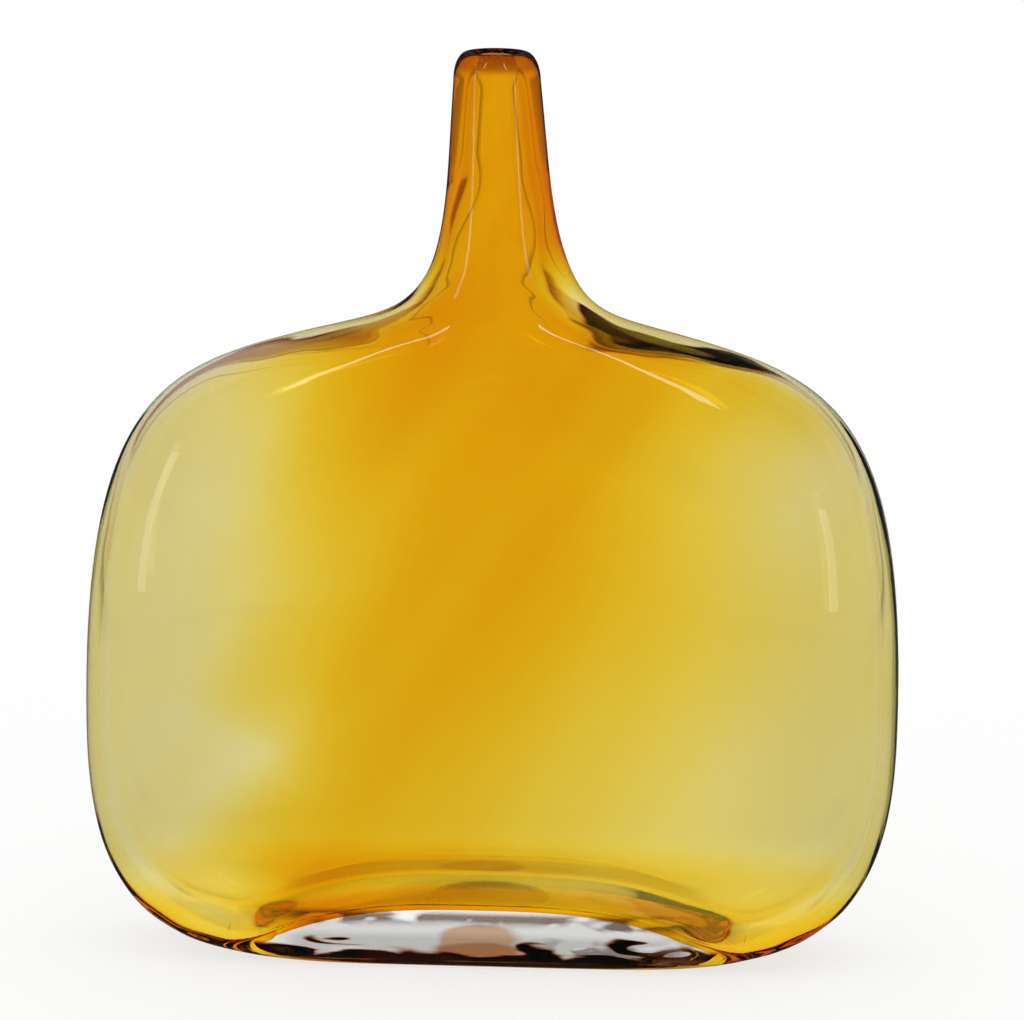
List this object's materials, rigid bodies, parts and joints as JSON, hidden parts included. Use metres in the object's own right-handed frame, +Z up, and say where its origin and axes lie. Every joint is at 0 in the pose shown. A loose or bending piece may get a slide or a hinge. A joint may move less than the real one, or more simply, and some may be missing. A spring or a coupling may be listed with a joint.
{
  "type": "glass bottle vase",
  "caption": "Flattened bottle-shaped vase of amber glass cased in clear glass, with a slender neck, a rounded lip and a thick clear base, for holding cut stems.",
  "frame": {"origin": "on the table, at the bottom centre of the vase's bounding box", "axes": "+Z up through the mouth, X along the width of the body, Y through its depth with the pictured broad face on -Y"},
  "size_m": [0.273, 0.0878, 0.305],
  "materials": {
    "clear_glass": "fire-polished, clear and smooth",
    "amber_glass": "fire-polished, transparent amber, paler at both sides"
  },
  "bodies": {
    "root": {"clear_casing": "clear_glass", "amber_bubble": "amber_glass", "clear_base": "clear_glass"}
  },
  "joints": []
}
